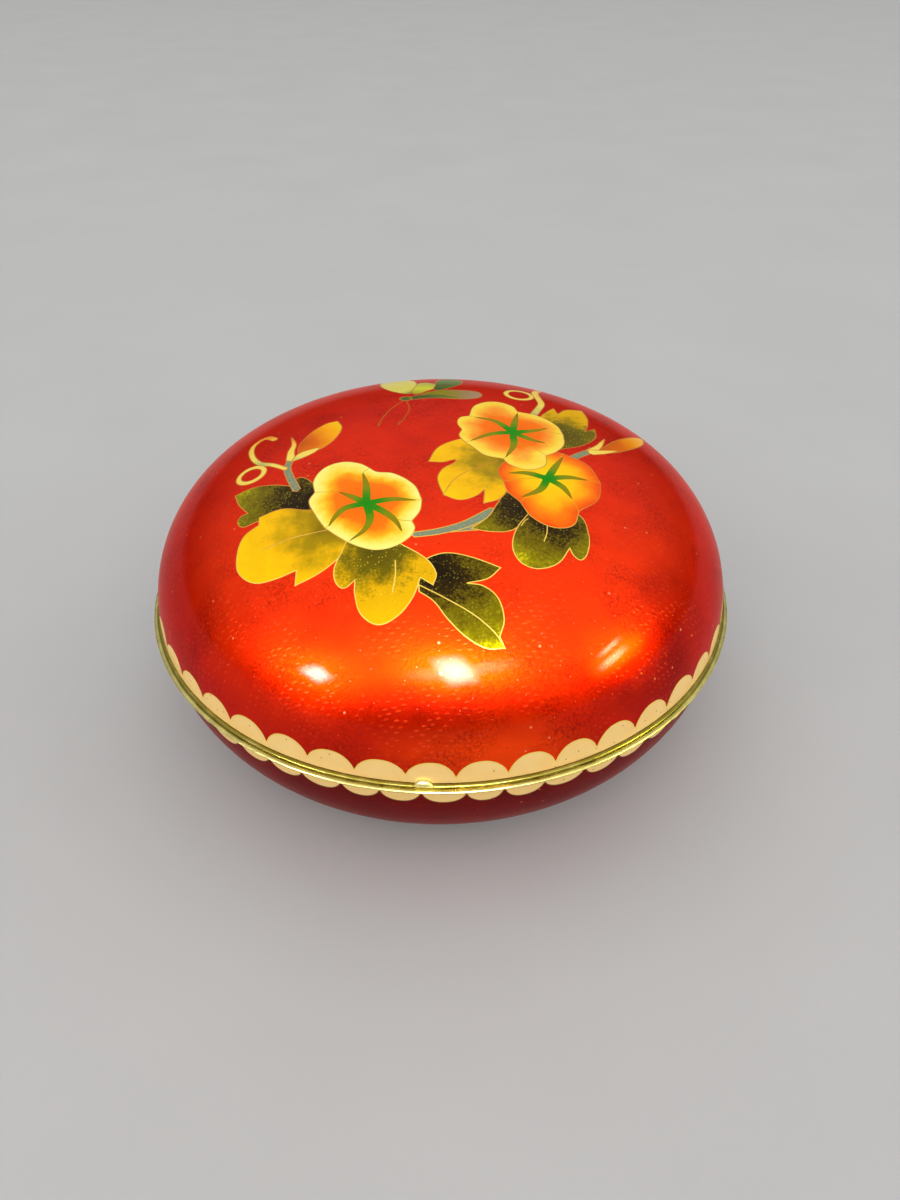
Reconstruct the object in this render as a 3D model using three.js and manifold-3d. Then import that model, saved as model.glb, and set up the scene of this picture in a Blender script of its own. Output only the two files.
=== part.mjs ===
// A round enamel box: a domed lid that lifts off a bowl-shaped base.
//
// Both halves are thin enamelled copper shells, each edged with a brass ring. The base's ring carries
// an upstanding collar that the lid drops over. Units are millimetres, +Z is up, and the origin is the
// centre of the foot ring's underside. The front of the box faces -Y.

import * as THREE from "three";
import { mergeVertices } from "three/addons/utils/BufferGeometryUtils.js";
import Module from "manifold-3d";

const wasm = await Module();
wasm.setup();

// Driving dimensions.
const RIM_RADIUS = 60; // outer edge of the base's brass ring, the widest part of the box
const HEIGHT = 60; // foot to the top of the lid
const JOINT_Z = 29.25; // where the lid's ring rests on the base's ring
const WALL = 2; // copper with enamel on both faces
const RIM_HEIGHT = 0.6; // height of each brass ring
const SEAT_GAP = 0.1; // clearance left between pieces that touch
const SEGMENTS = 64; // facets around the box, a multiple of 4
const BEAD_STEPS = 4; // facets over a ring's rounded edge, an even number so that its middle is a corner

// The outer curves of the two shells: superellipses that are widest at the brass rings.
const ROUNDNESS = 3.3; // exponent of the radius: 2 is an ellipse, and more is squarer at the shoulder
const LID_RADIUS = 58.6;
const LID_EDGE_Z = JOINT_Z + SEAT_GAP + RIM_HEIGHT + SEAT_GAP;
const BASE_RADIUS = 58.7;
const BASE_EDGE_Z = JOINT_Z - RIM_HEIGHT - SEAT_GAP;
const BASE_DEPTH = 31.2; // depth that the base's curve would have if the foot didn't cut it off

// The foot ring and the flat recess inside it.
const FOOT_RADIUS = 36;
const FOOT_WIDTH = 3;
const FOOT_RECESS = 1.1;
const FLOOR_THICKNESS = 2.2;

// The brass rings, and the collar on the base's ring that locates the lid.
const LID_RIM_RADIUS = 59.3;
const RIM_INNER_RADIUS = 55.8;
const BEAD_DEPTH = 0.6; // how far in from its edge each ring is rounded
const COLLAR_RADIUS = 55.5;
const COLLAR_THICKNESS = 0.9;
const COLLAR_HEIGHT = 3.4;

// The lump of solder that closes the lid's ring, just left of the front.
const SOLDER_ANGLE = THREE.MathUtils.degToRad(-2.4);
const SOLDER_SIZE = [1.3, 0.75, 1]; // half sizes along, out from and up the ring

const point = (radius, z) => new THREE.Vector2(radius, z);

// Points of a superellipse quarter, from (0, height) to (radius, 0).
function superellipse(radius, height, steps, from = 0) {
  return Array.from({ length: steps + 1 }, (_, i) => {
    const angle = THREE.MathUtils.lerp(from, Math.PI / 2, i / steps);
    return point(radius * Math.sin(angle) ** (2 / ROUNDNESS), height * Math.cos(angle));
  });
}

// Turns a half profile about +Z. The profile runs so that the solid lies on its left.
function turned(profile) {
  const upright = new THREE.LatheGeometry(profile, SEGMENTS);
  return upright.rotateX(Math.PI / 2);
}

function toManifold(geometry) {
  const bare = geometry.clone();
  bare.deleteAttribute("normal");
  bare.deleteAttribute("uv");
  const merged = mergeVertices(bare, 1e-4);
  return new wasm.Manifold(
    new wasm.Mesh({
      numProp: 3,
      vertProperties: new Float32Array(merged.attributes.position.array),
      triVerts: new Uint32Array(merged.index.array),
    }),
  );
}

function toGeometry(manifold) {
  const mesh = manifold.getMesh();
  const geometry = new THREE.BufferGeometry();
  geometry.setAttribute("position", new THREE.BufferAttribute(mesh.vertProperties, 3));
  geometry.setIndex(new THREE.BufferAttribute(mesh.triVerts, 1));
  const faceted = geometry.toNonIndexed();
  faceted.computeVertexNormals();
  return faceted;
}

function lidShell() {
  const rise = HEIGHT - LID_EDGE_Z;
  const lift = (p) => point(p.x, p.y + LID_EDGE_Z);
  const outside = superellipse(LID_RADIUS, rise, 16).map(lift);
  const inside = superellipse(LID_RADIUS - WALL, rise - WALL, 12).map(lift).reverse();
  return turned([...outside, ...inside].reverse());
}

function baseShell() {
  const footTop = Math.asin((FOOT_RADIUS / BASE_RADIUS) ** (ROUNDNESS / 2));
  const drop = (p) => point(p.x, BASE_EDGE_Z - p.y);
  const outside = superellipse(BASE_RADIUS, BASE_DEPTH, 13, footTop).map(drop).reverse();
  const foot = [
    point(FOOT_RADIUS, 0),
    point(FOOT_RADIUS - FOOT_WIDTH, 0),
    point(FOOT_RADIUS - FOOT_WIDTH - FOOT_RECESS / 2, FOOT_RECESS),
    point(0, FOOT_RECESS),
  ];
  const floorZ = FOOT_RECESS + FLOOR_THICKNESS;
  const innerRadius = BASE_RADIUS - WALL;
  const innerDepth = BASE_DEPTH - WALL;
  const floorAngle = Math.acos(Math.min(1, (BASE_EDGE_Z - floorZ) / innerDepth));
  const inside = [
    point(0, floorZ),
    ...superellipse(innerRadius, innerDepth, 11, floorAngle).map(drop),
  ];
  return turned([...inside, ...outside, ...foot].reverse());
}

// Rounded edge of a brass ring, from its lower to its upper face.
function bead(radius, lowZ, highZ) {
  const middleZ = (lowZ + highZ) / 2;
  return Array.from({ length: BEAD_STEPS + 1 }, (_, i) => {
    const angle = -Math.PI / 2 + (Math.PI * i) / BEAD_STEPS;
    return point(
      radius - BEAD_DEPTH * (1 - Math.cos(angle)),
      middleZ + (highZ - middleZ) * Math.sin(angle),
    );
  });
}

function lidRim() {
  const lowZ = JOINT_Z + SEAT_GAP;
  const highZ = lowZ + RIM_HEIGHT;
  const section = [
    ...bead(LID_RIM_RADIUS, lowZ, highZ),
    point(RIM_INNER_RADIUS, highZ),
    point(RIM_INNER_RADIUS, lowZ),
  ];
  const ring = turned([...section, section[0].clone()]);
  const lump = new THREE.SphereGeometry(1, 12, 8);
  lump.scale(...SOLDER_SIZE);
  lump.translate(0, -(LID_RIM_RADIUS - SOLDER_SIZE[1] / 2), lowZ + SOLDER_SIZE[2]);
  lump.rotateZ(SOLDER_ANGLE);
  const besideLid = LID_RADIUS + SEAT_GAP;
  const lidWall = wasm.Manifold.cylinder(HEIGHT, besideLid, besideLid, SEGMENTS).translate(0, 0, highZ);
  const solder = toManifold(lump).subtract(lidWall);
  return toGeometry(toManifold(ring).add(solder));
}

function baseRim() {
  const lowZ = JOINT_Z - RIM_HEIGHT;
  const collarInner = COLLAR_RADIUS - COLLAR_THICKNESS;
  const section = [
    ...bead(RIM_RADIUS, lowZ, JOINT_Z),
    point(COLLAR_RADIUS, JOINT_Z),
    point(COLLAR_RADIUS, JOINT_Z + COLLAR_HEIGHT - COLLAR_THICKNESS / 2),
    point(COLLAR_RADIUS - COLLAR_THICKNESS / 3, JOINT_Z + COLLAR_HEIGHT),
    point(collarInner, JOINT_Z + COLLAR_HEIGHT),
    point(collarInner, lowZ),
  ];
  return turned([...section, section[0].clone()]);
}

// Finishes of the two materials that show.
const enamel = () => new THREE.MeshStandardMaterial({ color: 0xb81c08, roughness: 0.12, metalness: 0.3 });
const brass = () => new THREE.MeshStandardMaterial({ color: 0xb8963c, roughness: 0.3, metalness: 1 });

function piece(name, geometry, material) {
  const mesh = new THREE.Mesh(geometry, material);
  mesh.name = name;
  return mesh;
}

const lid = new THREE.Group();
lid.add(piece("lid_shell", lidShell(), enamel()), piece("lid_rim", lidRim(), brass()));

const base = new THREE.Group();
base.add(piece("base_shell", baseShell(), enamel()), piece("base_rim", baseRim(), brass()));

const box = new THREE.Group();
box.add(base, lid);

export default box;
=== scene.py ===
"""The looks of a round enamel box with a lift-off lid.

Both halves are copper shells with coloured enamel laid over foil, in cells parted by fine gold wires, and
each is edged with a brass ring. The enamel is ground flush, so cells and wires share one polished surface.
Lengths here are millimetres until a mesh is made. The front of the box faces -Y.
"""

import functools
import math
import random

import bpy
import numpy as np
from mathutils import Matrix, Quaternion, Vector
from mathutils.geometry import delaunay_2d_cdt


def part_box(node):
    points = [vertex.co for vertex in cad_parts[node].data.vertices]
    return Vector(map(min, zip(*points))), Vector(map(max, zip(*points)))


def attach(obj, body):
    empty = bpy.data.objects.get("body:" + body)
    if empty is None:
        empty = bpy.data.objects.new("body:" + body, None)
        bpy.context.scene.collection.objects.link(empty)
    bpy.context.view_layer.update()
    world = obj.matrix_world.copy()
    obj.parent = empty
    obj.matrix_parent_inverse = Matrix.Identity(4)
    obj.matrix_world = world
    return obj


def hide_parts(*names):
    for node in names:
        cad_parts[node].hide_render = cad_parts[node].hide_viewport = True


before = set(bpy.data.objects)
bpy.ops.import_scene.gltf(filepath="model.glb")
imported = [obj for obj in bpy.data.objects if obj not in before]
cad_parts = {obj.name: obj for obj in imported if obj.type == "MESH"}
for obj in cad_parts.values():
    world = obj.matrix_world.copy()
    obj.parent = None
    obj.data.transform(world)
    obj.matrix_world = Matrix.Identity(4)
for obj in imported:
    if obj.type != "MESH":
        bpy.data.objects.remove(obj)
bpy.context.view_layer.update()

MM = 0.001
TIP = True  # marks a sharp point of an outline
STEP = 0.45  # spacing of points along an outline
GRID = 1.3  # spacing of points inside the cells
ROWS = 0.87  # spacing of their rows, as a share of that
CLEAR = 0.5  # least distance of those points from an outline
EDGE_CLEAR = 0.6  # and from the skin's edges
SLOPE_SPAN = 0.1  # half the distance over which a slope is measured
BAND_END = 0.8  # how far a band's rounded ends reach past it, as a share of its half width
WIRE = 0.2  # width of a cloison wire
SEAM = 0.14  # width of the line between two petals
WIRED, HOLE = -1, -2  # marks of the flat map's wires and of what lies outside it
AROUND = 288  # points around a shell's edge
RING_AROUND = 1152  # points around a brass ring
BEAD_STEPS = 10  # facets over its rounded edge
SCALLOP_STEPS = 14  # facets of a scallop
dice = random.Random(7)


def box_mm(node):
    low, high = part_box(node)
    return [c / MM for c in low], [c / MM for c in high]


lid_low, lid_high = box_mm("lid_shell")
base_low, base_high = box_mm("base_shell")
lid_rim_low, lid_rim_high = box_mm("lid_rim")
base_rim_low, base_rim_high = box_mm("base_rim")

# The two shells, their foot and the brass rings.
WALL = 2.0
ROUNDNESS = 3.3  # exponent of the domes' radius: 2 is an ellipse, and more is squarer at the shoulder
BASE_DEPTH = 31.2  # depth that the base's curve would have if the foot didn't cut it off
FOOT_RADIUS = 36.0
FOOT_WIDTH = 3.0
FOOT_RECESS = 1.1
FLOOR_THICKNESS = 2.2
RIM_INNER_RADIUS = 55.8
RIM_HEIGHT = 0.6
BEAD_DEPTH = 0.6
COLLAR_RADIUS = 55.5
COLLAR_THICKNESS = 0.9

# The lump of solder that closes the lid's ring.
SOLDER_AZIMUTH = math.radians(-2.4)  # from the front
SOLDER_HALF_WIDTH = 1.25
SOLDER_RISE = 0.75  # share of the height that the ring's box leaves for it
SOLDER_SWELL = 0.3  # how far it stands out from the ring


# ---------------------------------------- profiles


def dome(radius, height, centre_z, start=0.0, steps=90):
    """Half profile of a superellipse dome, from its top down to its widest level."""
    angle = np.linspace(start, math.pi / 2, steps)
    return np.column_stack([radius * np.sin(angle) ** (2 / ROUNDNESS), centre_z + height * np.cos(angle)])


def lid_outside():
    return dome(lid_high[0], lid_high[2] - lid_low[2], lid_low[2])


def lid_inside():
    return dome(lid_high[0] - WALL, lid_high[2] - lid_low[2] - WALL, lid_low[2], steps=28)[::-1]


def base_outside():
    foot_top = math.asin((FOOT_RADIUS / base_high[0]) ** (ROUNDNESS / 2))
    return np.vstack([[FOOT_RADIUS, base_low[2]], dome(base_high[0], -BASE_DEPTH, base_high[2], foot_top)])


def base_inside():
    floor_z = FOOT_RECESS + FLOOR_THICKNESS
    depth = BASE_DEPTH - WALL
    floor_angle = math.acos((base_high[2] - floor_z) / depth)
    hollow = dome(base_high[0] - WALL, -depth, base_high[2], floor_angle, steps=28)[::-1]
    return np.vstack([hollow, [0, floor_z]])


def base_underside():
    inner = FOOT_RADIUS - FOOT_WIDTH
    recess = [[r, FOOT_RECESS] for r in (inner - FOOT_RECESS / 2, inner / 2, 0)]
    return np.array([[inner, 0], *recess])


class Skin:
    """A turned surface unrolled flat: each point keeps its azimuth and its distance along the profile."""

    def __init__(self, profile, start=0.0):
        self.r, self.z = profile[:, 0], profile[:, 1]
        steps = np.hypot(np.diff(self.r), np.diff(self.z))
        self.reach = start + np.concatenate([[0], np.cumsum(steps)])
        self.edge = self.reach[-1]
        self.start = start

    def place(self, flat):
        """Positions and outward normals of points of the flat map."""
        reach = np.hypot(flat[:, 0], flat[:, 1])
        azimuth = np.arctan2(flat[:, 1], flat[:, 0])
        r = np.interp(reach, self.reach, self.r)
        z = np.interp(reach, self.reach, self.z)
        near, far = np.clip([reach - SLOPE_SPAN, reach + SLOPE_SPAN], self.start, self.edge)
        dr = np.interp(far, self.reach, self.r) - np.interp(near, self.reach, self.r)
        dz = np.interp(far, self.reach, self.z) - np.interp(near, self.reach, self.z)
        side = -1.0 if self.start else 1.0
        length = np.hypot(dr, dz)
        across, up = -side * dz / length, side * dr / length
        cos, sin = np.cos(azimuth), np.sin(azimuth)
        return np.column_stack([r * cos, r * sin, z]), np.column_stack([across * cos, across * sin, up])


# ---------------------------------------- outlines


def smooth_curve(points, closed=True):
    """Points along a curve through the given ones, round at each unless it is marked as a TIP."""
    places = [np.array(p[:2], float) for p in points]
    sharp = [len(p) > 2 for p in points]
    count = len(points)
    curve = []
    for i in range(count if closed else count - 1):
        j = (i + 1) % count
        a, b = places[i], places[j]
        before = places[i - 1] if closed or i else a
        after = places[(i + 2) % count] if closed or i + 2 < count else b
        chord = np.linalg.norm(b - a)
        leave = b - a if sharp[i] else chord * unit(b - before)
        arrive = b - a if sharp[j] else chord * unit(after - a)
        steps = max(2, round(chord / STEP))
        for t in np.arange(steps) / steps:
            curve.append(
                (2 * t**3 - 3 * t**2 + 1) * a + (t**3 - 2 * t**2 + t) * leave
                + (3 * t**2 - 2 * t**3) * b + (t**3 - t**2) * arrive
            )
    if not closed:
        curve.append(places[-1])
    return np.array(curve)


def unit(v):
    return v / max(np.linalg.norm(v), 1e-9)


def anticlockwise(outline):
    x, y = outline[:, 0], outline[:, 1]
    turns = np.sum(x * np.roll(y, -1) - y * np.roll(x, -1))
    return outline if turns > 0 else outline[::-1]


def grown(outline, distance):
    """The outline moved outwards by a distance, or inwards by a negative one."""
    ahead = np.roll(outline, -1, axis=0) - outline
    ahead /= np.linalg.norm(ahead, axis=1)[:, None]
    behind = np.roll(ahead, 1, axis=0)
    normal = np.column_stack([(ahead + behind)[:, 1], -(ahead + behind)[:, 0]])
    size = np.maximum(np.linalg.norm(normal, axis=1), 0.9)  # keeps sharp tips from shooting out
    return outline + distance * 2 * normal / size[:, None] ** 2


def ribbon(points, width):
    """A band along a curve. Its width is given at every share of its length, from 0 to 1."""
    spine = smooth_curve(points, closed=False)
    run = np.gradient(spine, axis=0)
    run /= np.linalg.norm(run, axis=1)[:, None]
    side = np.column_stack([-run[:, 1], run[:, 0]])
    half = np.array([width(t) / 2 for t in np.linspace(0, 1, len(spine))])[:, None]
    tip = spine[-1] + run[-1] * half[-1] * BAND_END
    tail = spine[0] - run[0] * half[0] * BAND_END
    return np.vstack([tail, spine - side * half, tip, (spine + side * half)[::-1]])


def ellipse(centre, half_width, half_height):
    count = max(12, round(2 * math.pi * half_width / STEP))
    turn = np.linspace(0, 2 * math.pi, count, endpoint=False)
    return np.column_stack([centre[0] + half_width * np.cos(turn), centre[1] + half_height * np.sin(turn)])


def circle(radius, count):
    turn = np.linspace(0, 2 * math.pi, count, endpoint=False)
    return radius * np.column_stack([np.cos(turn), np.sin(turn)])


def scallop_line(edge, count, first, cusp_gap, depth):
    """A closed row of uneven scallops on a shell's edge. Its first cusp is at an azimuth in degrees."""
    pitch = 360 / count
    cusps = [(first + pitch * (k + dice.uniform(-0.06, 0.06)), cusp_gap * dice.uniform(0.8, 1.35))
             for k in range(count)]
    cusps.append((cusps[0][0] + 360, cusps[0][1]))
    points = []
    for (start, gap), (end, end_gap) in zip(cusps, cusps[1:]):
        peak = cusp_gap + depth * dice.uniform(0.9, 1.1)
        for t in np.arange(SCALLOP_STEPS) / SCALLOP_STEPS:
            azimuth = math.radians(start + (end - start) * t)
            foot = gap + (end_gap - gap) * t
            reach = edge - foot - (peak - foot) * (1 - abs(2 * t - 1) ** 2.3) ** 0.75
            points.append((reach * math.sin(azimuth), -reach * math.cos(azimuth)))
    return np.array(points)


class Cell:
    """One field of enamel. Its tone runs from 0 at the root to 1 at the reach, or at its rim."""

    def __init__(self, outline, enamel, root=(0, 0), reach=20.0, rim=None, wired=True):
        self.outline = anticlockwise(np.array(outline))
        self.enamel = enamel
        self.root = np.array(root)
        self.reach = reach
        self.rim = rim
        self.wired = wired
        self.batch = dice.random()

    def tone(self, flat):
        from_root = np.linalg.norm(flat - self.root, axis=1)
        if self.rim is None:
            return from_root / self.reach
        to_rim = distance_to(flat, self.rim)
        return from_root / (from_root + to_rim + 1e-6)


def distance_to(points, line):
    a, b = line[:-1], line[1:]
    run = b - a
    share = np.einsum("psk,sk->ps", points[:, None] - a, run) / np.maximum(np.sum(run * run, axis=1), 1e-9)
    nearest = a + np.clip(share, 0, 1)[..., None] * run
    return np.linalg.norm(points[:, None] - nearest, axis=2).min(axis=1)


# ---------------------------------------- the lid's design

# Positions are on the unrolled lid, from its middle: across to the right, and away from the front.


def curved(points, enamel, root, reach):
    """A cell bounded by a smooth curve, such as a leaf."""
    return Cell(smooth_curve(points), enamel, root, reach)


def band(points, width, enamel, root=(0, 0), reach=20.0, wired=True):
    """A cell that runs along a curve, such as a stem."""
    return Cell(ribbon(points, width), enamel, root, reach, wired=wired)


def vein(points):
    return band(points, lambda t: WIRE, "wire", wired=False)


def tapering(width):
    return lambda t: width * (1 - t) ** 0.7 + 0.1


def arm_width(t):
    return 1.2 * (1 - t) ** 0.9 + 0.5 * math.sin(math.pi * t) + 0.2


def feeler_width(t):
    return 0.3 + 0.9 * max(0, t - 0.75)


def flower(centre, enamel, corners, lobes, seams, arms):
    """Petals round a centre. Corners are where petals meet at the outside, lobes the points between.

    Each seam between two petals runs from the centre through its points to its corner, and each arm of the
    green calyx through its own points, out over the petals.
    """
    middle = np.array(centre, float)
    lines = [[centre, *seam, corner] for seam, corner in zip(seams, corners)]
    petals, rims = [], []
    for i, lobe in enumerate(lobes):
        left, right = lines[i], lines[(i + 1) % len(lines)]
        outer = smooth_curve([(*left[-1], TIP), *lobe, (*right[-1], TIP)], closed=False)
        out = smooth_curve(left, closed=False)
        back = smooth_curve(right, closed=False)[::-1]
        outline = anticlockwise(np.vstack([out[:-1], outer[:-1], back[:-1]]))
        petals.append(Cell(grown(outline, -SEAM / 2), enamel, middle, rim=outer, wired=False))
        rims.append(outer[:-1])
    cells = [Cell(np.vstack(rims), "seam"), *petals]
    for arm in arms:
        length = np.linalg.norm(arm[-1] - middle)
        cells.append(band([centre, *arm], arm_width, "calyx", middle, length, wired=False))
    cells.append(Cell(ellipse(centre, 1.2, 1.2), "calyx", middle, reach=9.0, wired=False))
    return cells


def loop(centre, half_width, half_height, width):
    """A tendril's ring: a disc of the tendril's enamel with the red ground inside it."""
    return [
        Cell(ellipse(centre, half_width, half_height), "tendril", centre, 1.8 * half_width),
        Cell(ellipse(centre, half_width - width, half_height - width), "ground"),
    ]


def left_spray():
    """The near flower with its leaves, bud and tendril."""
    far_leaf = curved([
        (-39, -11, TIP), (-35.5, -10.1), (-31, -10.8), (-27.4, -12.2, TIP), (-26.3, -9.6), (-23.5, -12),
        (-20, -18), (-26, -21), (-33, -20.5, TIP), (-35.8, -21), (-37.2, -19.4), (-36.8, -18),
        (-35.3, -17.6, TIP), (-37.6, -14.4),
    ], "dark_leaf", (-24.5, -17), 17)
    yellow_leaf = curved([
        (-20, -20.5), (-24, -19.9), (-28.5, -18.6), (-32.8, -19.6, TIP), (-32.6, -21.6, TIP),
        (-35.4, -23.6), (-36.4, -27.5), (-35.8, -31.4), (-32.5, -34.5), (-28.5, -34.9), (-24.4, -34, TIP),
        (-24.5, -37, TIP), (-20.8, -35.6), (-17.6, -33.2), (-14, -28),
    ], "yellow_leaf", (-19.5, -24.5), 17)
    olive_leaf = curved([
        (-15, -28), (-16.6, -31.6), (-17.7, -35), (-17.2, -37.8), (-15.8, -38.9), (-14, -37.5, TIP),
        (-13.9, -40.5), (-12.8, -44), (-9.9, -46), (-6.6, -44.6), (-4.2, -41.4), (-3, -37.7, TIP),
        (-0.9, -39.2, TIP), (-0.4, -37), (-2, -34), (-6, -30.8), (-10, -28),
    ], "olive_leaf", (-10.3, -31.5), 15)
    near_leaf = curved([
        (-3.2, -40.4, TIP), (-3.2, -35.4), (-1.6, -33.6), (1.4, -32.6), (5.4, -33.4), (10.4, -35.4, TIP),
        (8.2, -37.7), (4.6, -38.8, TIP), (7.4, -39.2), (9.8, -41.2), (10.9, -45), (10.2, -48, TIP),
        (11.1, -49.8, TIP), (8, -50), (4.6, -48.3), (1.6, -45.4), (-0.8, -42.2),
    ], "dark_leaf", (-0.5, -36.5), 17)
    near_vein = vein([(-3.2, -39.2), (1, -41.6), (6, -44.6), (9.4, -47.4), (10.8, -49.2)])
    yellow_vein = vein([(-31, -27.9), (-26, -26.7), (-19, -25.8)])
    olive_vein = vein([(-7.3, -34), (-7.2, -37), (-7.6, -40.4)])
    stems = [
        band([(-26.4, -13.5), (-28.2, -9), (-29.2, -5.6), (-28.9, -2.4)], lambda t: 1.5 - 0.2 * t, "stem"),
        band([(-29, -2.6), (-29.3, 0.6), (-29.1, 3.2), (-30.1, 6.8)], tapering(1.7),
             "tendril", (-29, -6), 12),
        band([
            (-29.5, -5.8), (-32.4, -3.5), (-35.6, -1.5), (-38, 3), (-38.4, 7.4), (-36.2, 9.6), (-33.7, 7.6),
        ], lambda t: 1.0 + 0.3 * t, "tendril", (-35, -2), 12),
        curved([
            (-27.6, -1.8, TIP), (-27.9, 2.6), (-26.2, 7.6), (-23.4, 11.2), (-21.2, 12, TIP), (-20, 8.6),
            (-20.9, 4), (-22.9, 0.6), (-25.2, -1),
        ], "bud", (-29, 3), 11),
        curved([
            (-28.8, -3.6, TIP), (-27.8, -1), (-26, 0.2), (-23.4, 0.9, TIP), (-24.4, -0.9), (-26.6, -2.6),
        ], "tendril", (-28, -5), 12),
    ]
    seams = [
        [(-15.8, -17.2), (-18.2, -15.6)], [(-13.4, -14), (-14.3, -9.8)], [(-8.6, -18.5), (-4.2, -18.9)],
        [(-9.6, -22.2), (-7.4, -24.2)], [(-12.1, -23.6), (-12.9, -26.6), (-15.2, -28.9)],
        [(-16.8, -20.5), (-18.3, -22.6), (-19.3, -24.9)],
    ]
    blossom = flower(
        (-13, -19.4), "cream_petal",
        corners=[(-22.8, -15), (-13.2, -8), (-3.1, -18.8), (-4.8, -24.8), (-15.6, -29.3), (-20, -25.2)],
        lobes=[
            [(-23.4, -11.2), (-21.8, -7.2), (-18.6, -5.5), (-15.2, -6.3)],
            [(-11.8, -9.4), (-8.6, -10.1), (-4.7, -14)], [(-3.4, -22)],
            [(-4.2, -26.6), (-5, -28.8), (-7.6, -30.9), (-10.6, -31.5), (-13.4, -30.6)],
            [(-17.8, -27.4)], [(-22, -21.6), (-23.6, -17.6)],
        ],
        seams=seams,
        arms=[*seams[:3], [(-9.6, -22.2), (-7.6, -24.6), (-6.4, -27.3)], *seams[4:]],
    )
    leaves = [far_leaf, yellow_leaf, yellow_vein, near_leaf, near_vein, olive_leaf, olive_vein]
    return leaves + loop((-36.6, -5.3), 3.2, 3.1, 1.1) + stems + blossom


def right_spray():
    """The two far flowers with their leaves, bud and tendril."""
    leaves = [
        band([(2, -27), (5.6, -26.6), (9, -26.2)], lambda t: 1.4 - 0.5 * t, "stem"),
        band([(-4.2, -28.3), (0, -27.5), (4.6, -25.6), (9.6, -21.8)], lambda t: 1.2 + 0.8 * t, "stem"),
        curved([
            (11.9, -16, TIP), (10, -20.4), (8.6, -23.4), (5.6, -26.7, TIP), (9, -27.3), (12.4, -26.8),
            (15.4, -23.8), (18, -20), (14.6, -17),
        ], "dark_leaf", (14.4, -21), 12),
        curved([
            (14.6, -24), (12.9, -28), (12.7, -31.6), (14.2, -34.2), (17, -34.9), (20.4, -33.2),
            (22.6, -29.6, TIP), (23.3, -31.2), (24.6, -31.8), (25.9, -29.6), (26.3, -25.6), (24.8, -21),
            (18, -20),
        ], "dark_leaf", (19.4, -24), 13),
        vein([(18.9, -25), (18.7, -26.8), (18.1, -28.8)]),
        vein([(15.6, -23.4), (14.9, -24.2), (14.3, -25.4)]),
        curved([
            (5.4, 3), (2.2, 2), (-0.6, -0.8), (-2.2, -5.9, TIP), (0.6, -6.1), (3, -5.4), (0.5, -8.6),
            (-0.4, -12), (0.8, -17.4, TIP), (3.6, -18.8), (6.4, -17.6), (8.2, -15.4, TIP),
            (7.9, -19.7, TIP), (10.8, -18.2), (12.3, -15), (12.4, -11), (14, -4), (10, 0),
        ], "yellow_leaf", (13, -5), 17),
        vein([(0.9, -16.6), (2.6, -12.4), (5.6, -9), (11, -5.4)]),
        curved([
            (20.5, 13), (22.2, 17), (24, 19.8, TIP), (24.6, 16.6, TIP), (26.6, 20), (30.6, 22.2, TIP),
            (31.1, 17), (30.4, 12.2), (29.4, 9.2, TIP), (31.9, 11.8, TIP), (31.4, 7.2), (28.6, 3.2),
            (25, 0.8), (21, 0),
        ], "olive_leaf", (24.6, 5), 18),
        band([(24.5, -4), (26.6, -1.8), (28.6, 0), (30.6, 1.8)], lambda t: 1.5, "stem"),
        curved([
            (31.6, 1.6), (33, 4.2), (36, 8.4), (40, 13.2), (44.8, 18.8, TIP), (43.6, 13.6), (41, 8.8),
            (37.8, 5), (34.4, 2),
        ], "bud", (31, 6), 17),
        band([(29.4, 0.6), (31.4, 3.2), (33.4, 7.6)], tapering(1.6), "tendril", (27, -2), 12),
        band([(29.6, 0.4), (32.2, 1.4), (35.6, 3.4)], tapering(1.8), "tendril", (27, -2), 12),
        *loop((17, 26.4), 3.4, 3.8, 1.1),
        band([(18.6, 13), (20.4, 17.8), (21.5, 21.6), (21.1, 26), (20.9, 30), (22.4, 35)],
             lambda t: 1.5, "tendril", (19, 14), 22),
    ]
    near_seams = [
        [(16, -11.4)], [(16.2, -8)], [(21.8, -6.8), (23, -4)], [(24, -10), (27.6, -10.2)],
        [(22.6, -13.4), (24, -16.6)], [(18.3, -14.8), (16, -17)],
    ]
    near = flower(
        (20, -11), "orange_petal",
        corners=[(11.7, -12.6), (12.4, -5.4), (23.7, -1.6), (30.1, -10.4), (25, -20), (14.4, -18.8)],
        lobes=[
            [(10.9, -9)], [(17, 0)], [(28.2, -4.8)], [(29, -15.8)],
            [(23.6, -24), (20, -25.1), (16.4, -23)], [(12.4, -16)],
        ],
        seams=near_seams,
        arms=[
            [(16.2, -9.6), (12.8, -9.8)], [(21.8, -6.8), (23.6, -3)], *near_seams[3:5],
            [(18.3, -14.8), (14.8, -17.4)],
        ],
    )
    far_seams = [
        [(10, 5), (6, 2.2)], [(11.2, 10.6), (7, 12.4)], [(15.1, 10.6), (15.9, 14.8)],
        [(18.6, 6.8), (21.8, 7)], [(15.4, 1.6), (17.8, 0.2)], [(14.3, 0.6), (12.6, -4)],
    ]
    far = flower(
        (14.4, 6), "salmon_petal",
        corners=[(4.9, 1.6), (5.8, 12.9), (16, 15.7), (24.6, 6.4), (20.4, -2.8), (12, -4.7)],
        lobes=[
            [(3.7, 4.4), (4.3, 6.8, TIP), (3.4, 9.6), (4, 12.2)],
            [(7.2, 18.2), (11, 20.6), (14.8, 18.8)], [(20.2, 14.2), (23.6, 10.4)],
            [(24.3, 2), (22.4, -1.2)], [(19.8, -6.6), (16.6, -8.4), (13.2, -6.8)],
            [(8.6, -3.4), (6, 0.2)],
        ],
        seams=far_seams,
        arms=[*far_seams[1:3], [(18.6, 7), (21.6, 8.6)], [(18.2, 3), (20.6, 2.2)], far_seams[5],
              far_seams[0]],
    )
    return leaves + near + far


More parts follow.
